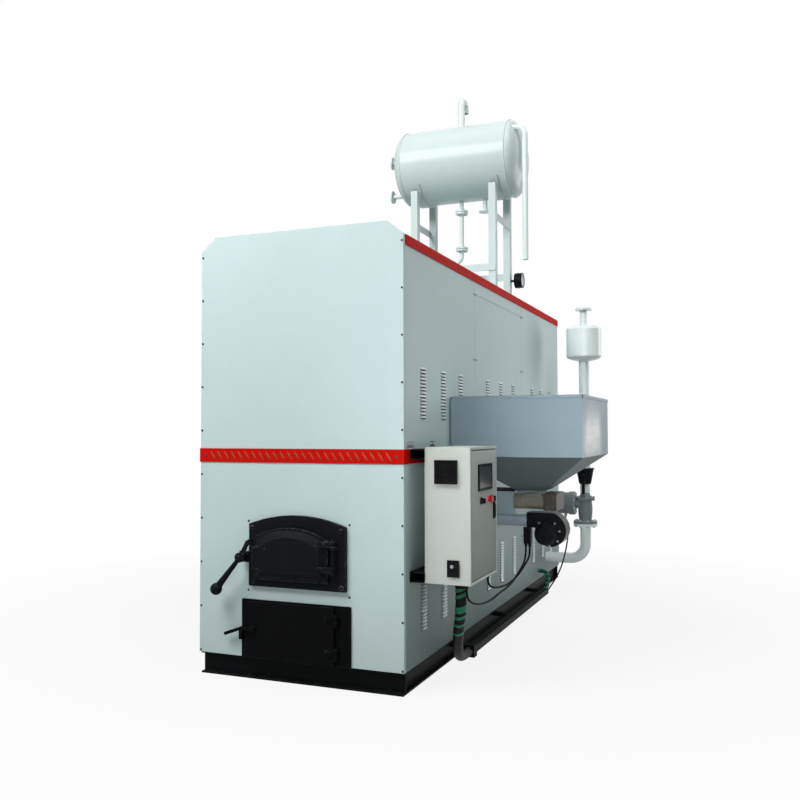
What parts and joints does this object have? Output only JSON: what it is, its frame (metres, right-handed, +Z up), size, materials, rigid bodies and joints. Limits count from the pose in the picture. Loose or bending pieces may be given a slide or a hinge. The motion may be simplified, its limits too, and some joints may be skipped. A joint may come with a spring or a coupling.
{
  "type": "industrial boiler",
  "caption": "Horizontal industrial boiler on a skid with fire and ash doors, pellet hopper and burner, control cabinet, circulation pump, separator and roof expansion tank.",
  "frame": {"origin": "on the floor at the centre of the skid", "axes": "+X to the burner and cabinet side, +Y from the door end to the rear, +Z up"},
  "size_m": [2.072, 4.02, 4.2799],
  "materials": {
    "casing_paint": "satin",
    "red_paint": "gloss",
    "black_paint": "satin",
    "furnace_steel": "matte",
    "cast_iron": "matte",
    "cabinet_paint": "textured",
    "control_plastic": "gloss",
    "black_plastic": "matte",
    "hopper_paint": "satin",
    "motor_paint": "satin",
    "tank_paint": "gloss",
    "pump_paint": "satin",
    "stand_paint": "satin",
    "gauge_steel": "satin",
    "channel_paint": "satin",
    "conduit_plastic": "ribbed",
    "cable_rubber": "matte",
    "wrap_tape": "wrapped"
  },
  "bodies": {
    "boiler": {"skid_sides": "black_paint", "skid_members": "black_paint", "floor_plate": "furnace_steel", "front_lower_panel": "casing_paint", "front_upper_panel": "casing_paint", "side_panels": "casing_paint", "rear_panel": "casing_paint", "roof_panel": "casing_paint", "red_bands": "red_paint", "furnace_block": "furnace_steel", "furnace_crown": "furnace_steel", "firebox_walls": "furnace_steel", "ash_pit_walls": "furnace_steel", "grate": "cast_iron", "fire_door_frame": "cast_iron", "ash_door_frame": "cast_iron", "cabinet_brackets": "black_paint", "cabinet_shell": "cabinet_paint", "cabinet_vents": "black_plastic", "hopper_bin": "hopper_paint", "hopper_cone": "hopper_paint", "burner_body": "hopper_paint", "feed_screw": "hopper_paint", "feed_gearbox": "motor_paint", "feed_motor": "motor_paint", "air_duct": "hopper_paint", "blower_housing": "black_paint", "blower_motor": "black_paint", "blower_plug": "black_plastic", "line_pipes": "tank_paint", "pump_body": "pump_paint", "circulation_pump": "pump_paint", "shutoff_valve": "black_paint", "oil_gas_separator": "tank_paint", "tank_shell": "tank_paint", "tank_ends": "tank_paint", "tank_legs": "stand_paint", "tank_cradles": "stand_paint", "tank_braces": "stand_paint", "tank_pipes": "tank_paint", "tank_nozzles": "tank_paint", "dial_gauge": "gauge_steel", "cable_channel": "channel_paint", "conduit": "conduit_plastic", "burner_cable": "cable_rubber", "feeder_cable": "cable_rubber", "pump_cable": "cable_rubber", "wrapped_duct": "wrap_tape"},
    "fire_door": {"fire_door": "cast_iron"},
    "fire_door_lever": {"fire_door_lever": "cast_iron"},
    "ash_door": {"ash_door": "cast_iron"},
    "ash_door_latch": {"ash_door_latch": "cast_iron"},
    "cabinet_door": {"cabinet_door": "cabinet_paint", "door_controls": "control_plastic"},
    "valve_lever": {"valve_lever": "black_paint"}
  },
  "joints": [
    {"name": "fire_door_hinge", "type": "hinge", "parent": "boiler", "child": "fire_door", "pos_m": [0.2375, -1.998, 0.68], "axis": [0, 0, 1], "range_deg": [0, 110]},
    {"name": "fire_door_lever_pivot", "type": "hinge", "parent": "fire_door", "child": "fire_door_lever", "pos_m": [-0.3105, -2.032, 0.67612], "axis": [0, 1, 0], "range_deg": [0, 40]},
    {"name": "ash_door_hinge", "type": "hinge", "parent": "boiler", "child": "ash_door", "pos_m": [0.247, -1.975, 0.28], "axis": [0, 0, 1], "range_deg": [0, 110]},
    {"name": "ash_door_latch_pivot", "type": "hinge", "parent": "ash_door", "child": "ash_door_latch", "pos_m": [-0.26, -1.986, 0.28202], "axis": [0, 1, 0], "range_deg": [0, 35]},
    {"name": "cabinet_door_hinge", "type": "hinge", "parent": "boiler", "child": "cabinet_door", "pos_m": [0.944, -1.817, 0.925], "axis": [0, 0, -1], "range_deg": [0, 120]},
    {"name": "valve_lever_pivot", "type": "hinge", "parent": "boiler", "child": "valve_lever", "pos_m": [0.965, 1.3345, 0.9735], "axis": [0, 1, 0], "range_deg": [0, 90]}
  ]
}
